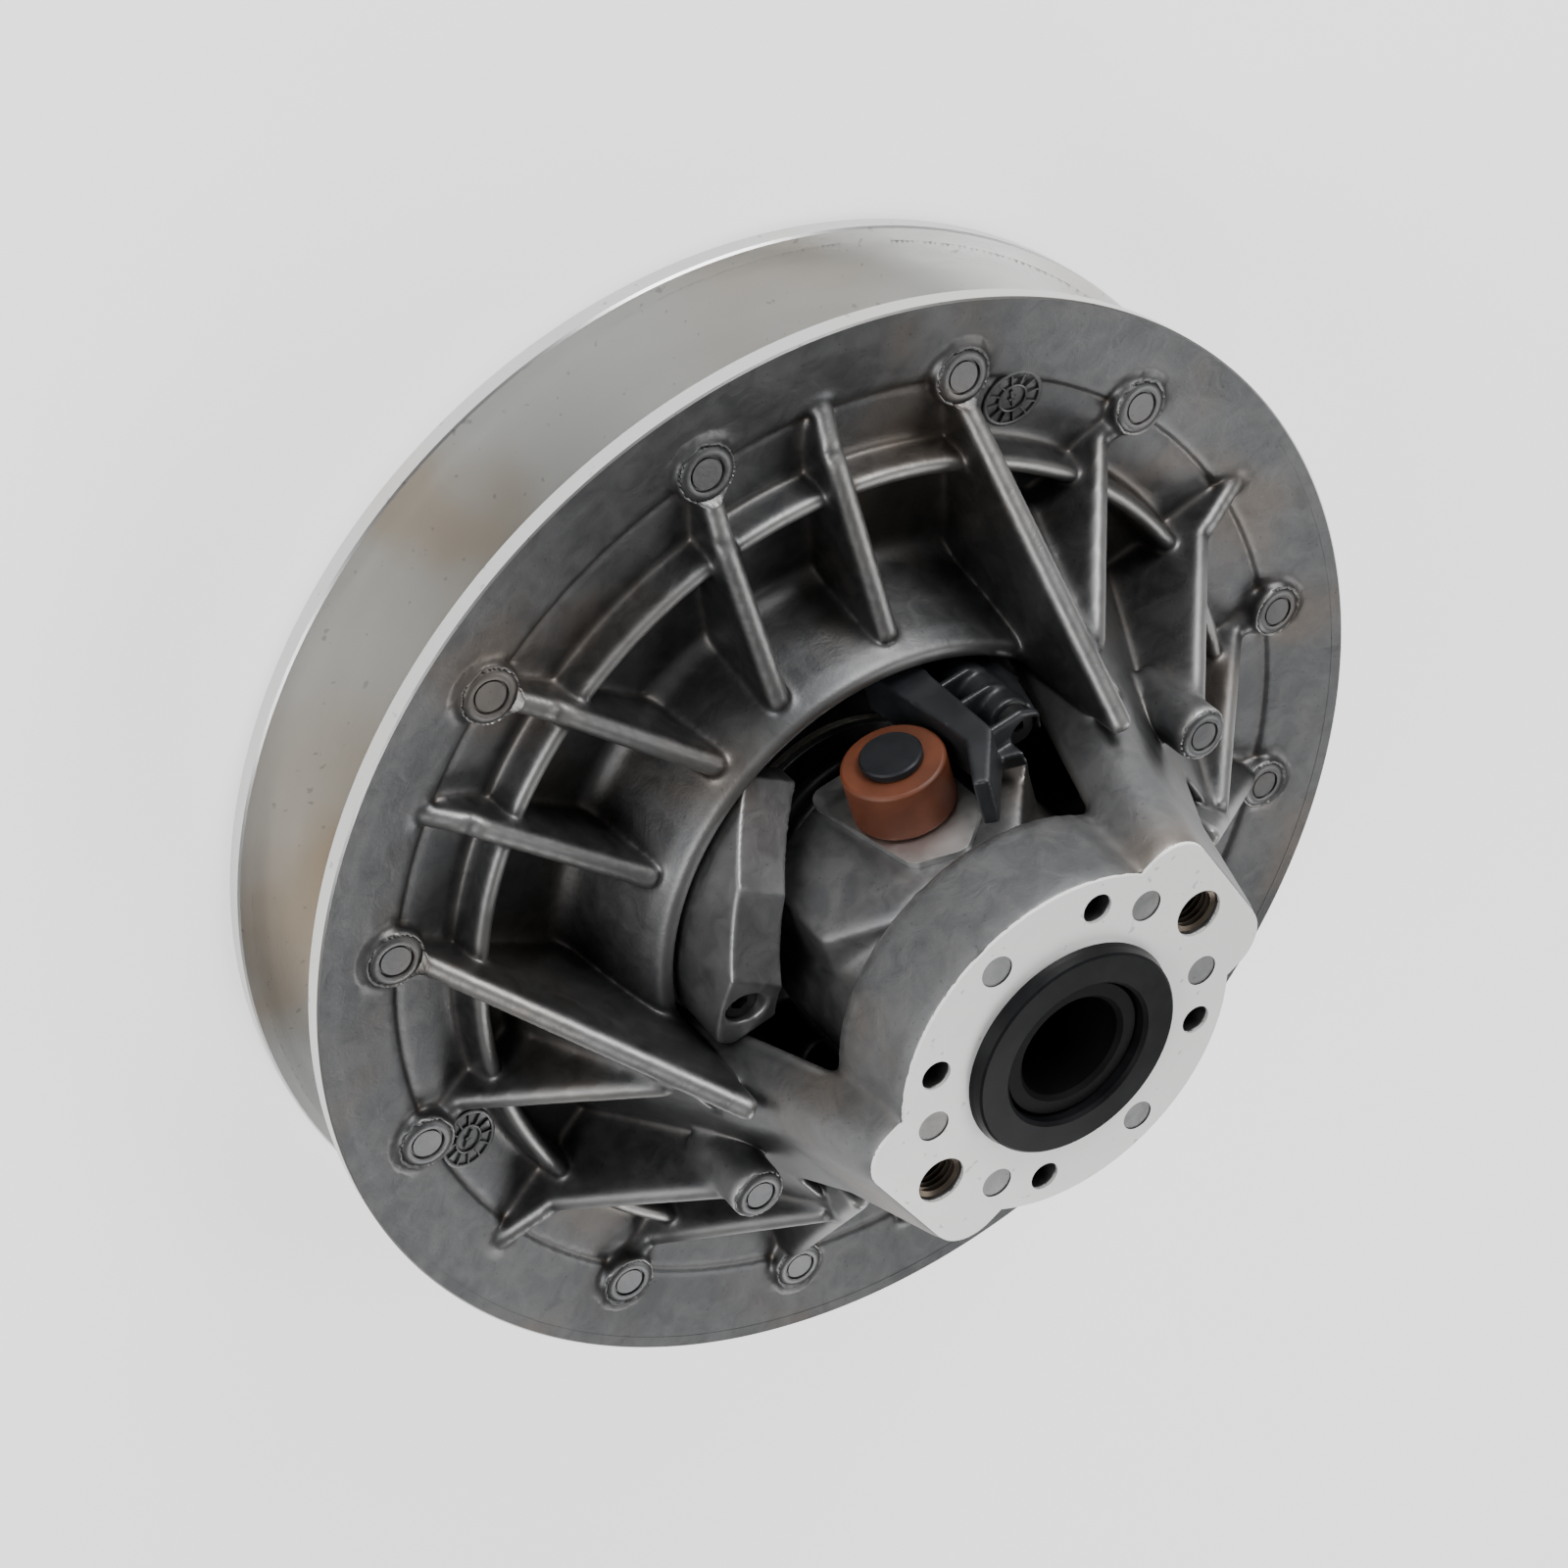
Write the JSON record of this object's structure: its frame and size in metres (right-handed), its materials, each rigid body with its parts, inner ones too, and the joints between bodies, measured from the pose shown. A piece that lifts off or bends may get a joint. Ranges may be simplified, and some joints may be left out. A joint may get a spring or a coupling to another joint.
{
  "type": "driven CVT pulley",
  "caption": "Driven pulley of a belt CVT: fixed and sliding aluminium halves, neck with threaded holes, rollers on a carrier, ramps, buffers and a closing spring.",
  "frame": {"origin": "centre of the rear hub face of the fixed half, on the pulley axis", "axes": "+Z along the pulley axis from the fixed half to the neck; the towers stand on X, the windows face Y"},
  "size_m": [0.28, 0.28, 0.1307],
  "materials": {
    "cast_aluminium": "die-cast, mottled grey, machined belt face, rim and neck face",
    "machined_aluminium": "cast with a satin machined belt face",
    "carrier_aluminium": "cast, tumbled, milled seats",
    "ramp_aluminium": "satin, hard anodised",
    "black_steel": "black oxide",
    "black_bush": "satin black, turned",
    "bronze": "sintered bronze",
    "insert_steel": "drawn wire, slightly browned",
    "roller_polymer": "satin orange-brown high-temperature polymer",
    "pin_steel": "black oxide",
    "plate_steel": "ground",
    "buffer_plastic": "moulded black nylon",
    "screw_steel": "black oxide",
    "spring_steel": "oil-tempered wire",
    "washer_plastic": "natural nylon"
  },
  "bodies": {
    "fixed_half": {"fixed_sheave": "machined_aluminium", "hub_post": "black_steel", "post_ring": "screw_steel", "roller_carrier": "carrier_aluminium", "carrier_key": "screw_steel", "carrier_ring": "screw_steel", "roller_pin_a": "pin_steel", "roller_pin_b": "pin_steel", "roller_sleeve_a": "bronze", "roller_sleeve_b": "bronze", "thrust_plate_a": "plate_steel", "thrust_plate_b": "plate_steel", "spring_cup": "plate_steel", "spring": "spring_steel"},
    "spring_seat": {"spring_plate": "plate_steel"},
    "sliding_half": {"sliding_sheave": "cast_aluminium", "inner_bushing": "bronze", "neck_bushing": "black_bush", "thread_inserts": "insert_steel", "cam_ramp_a": "ramp_aluminium", "cam_ramp_b": "ramp_aluminium", "ramp_screws": "screw_steel", "buffer_a": "buffer_plastic", "buffer_b": "buffer_plastic", "buffer_screws": "screw_steel", "slip_washer": "washer_plastic"},
    "roller_a_body": {"roller_a": "roller_polymer"},
    "roller_b_body": {"roller_b": "roller_polymer"}
  },
  "joints": [
    {"name": "sheave_slide", "type": "slide", "parent": "fixed_half", "child": "spring_seat", "axis": [0, 0, 1], "range_m": [0, 0.02], "stiffness_N_per_m": 15000, "springref_m": -0.025, "deforming": ["spring"]},
    {"name": "sheave_turn", "type": "hinge", "parent": "spring_seat", "child": "sliding_half", "pos_m": [0, 0, 0.05], "axis": [0, 0, 1], "range_deg": [-3.2, 0]},
    {"name": "roller_a_spin", "type": "hinge", "parent": "fixed_half", "child": "roller_a_body", "pos_m": [-0.0152, -0.04416, 0.079], "axis": [-0.3256, -0.9455, 0], "range_deg": [-99, 0]},
    {"name": "roller_b_spin", "type": "hinge", "parent": "fixed_half", "child": "roller_b_body", "pos_m": [0.0152, 0.04416, 0.079], "axis": [0.3256, 0.9455, 0], "range_deg": [-99, 0]}
  ],
  "couplings": [
    {"joint": "sheave_turn", "follows": "sheave_slide", "rad_per_m": -2.618},
    {"joint": "roller_a_spin", "follows": "sheave_slide", "rad_per_m": -85.47},
    {"joint": "roller_b_spin", "follows": "sheave_slide", "rad_per_m": -85.47}
  ]
}
